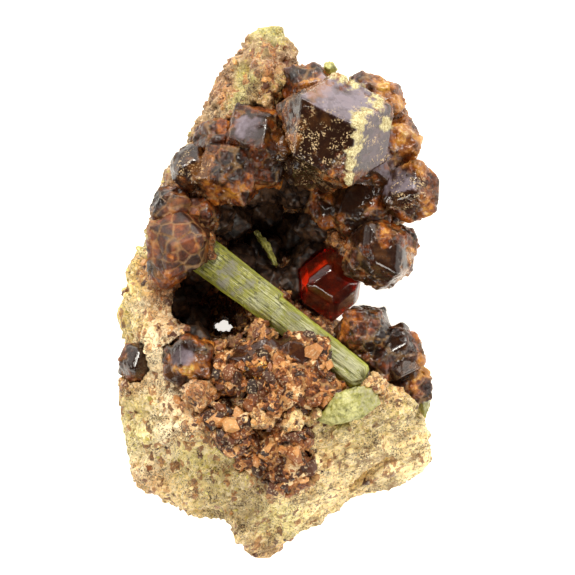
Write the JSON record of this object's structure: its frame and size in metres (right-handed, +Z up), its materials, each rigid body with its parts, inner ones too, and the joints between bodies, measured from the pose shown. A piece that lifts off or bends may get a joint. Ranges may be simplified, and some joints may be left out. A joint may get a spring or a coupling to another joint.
{
  "type": "grossular garnet with epidote mineral specimen",
  "caption": "Hand specimen of skarn lying on its broken back: brown garnet crystals around an open pocket in granular rock, bridged by a striated green epidote prism.",
  "frame": {"origin": "centre of the specimen's footprint, on the surface that its broken back rests on", "axes": "+Y along the specimen's length towards its pointed top, +Z up through the side that shows the pocket, +X to its right as the pocket is viewed"},
  "size_m": [0.0326, 0.0538, 0.0243],
  "materials": {
    "skarn_rock": "granular broken skarn rock, tan and cream with orange-brown and olive grains, matt",
    "pocket_garnet": "small dark garnets, glassy",
    "garnet": "brown grossular garnet, glassy to resinous flat faces, partly translucent",
    "garnet_red": "red-orange translucent garnet, glassy",
    "epidote": "yellow-green epidote with pale patches, striated lengthwise, glassy"
  },
  "bodies": {
    "root": {"matrix": "skarn_rock", "pocket_crust": "pocket_garnet", "garnet_crown": "garnet", "garnet_upper_left": "garnet", "garnet_left": "garnet", "garnet_lower_left": "garnet", "garnet_left_edge": "garnet", "garnet_front": "garnet", "garnet_front_low": "garnet", "garnet_lower_right": "garnet", "garnet_red": "garnet_red", "epidote_prism": "epidote", "epidote_blade": "epidote", "epidote_needle": "epidote", "epidote_grain": "epidote", "epidote_rim": "epidote"}
  },
  "joints": []
}
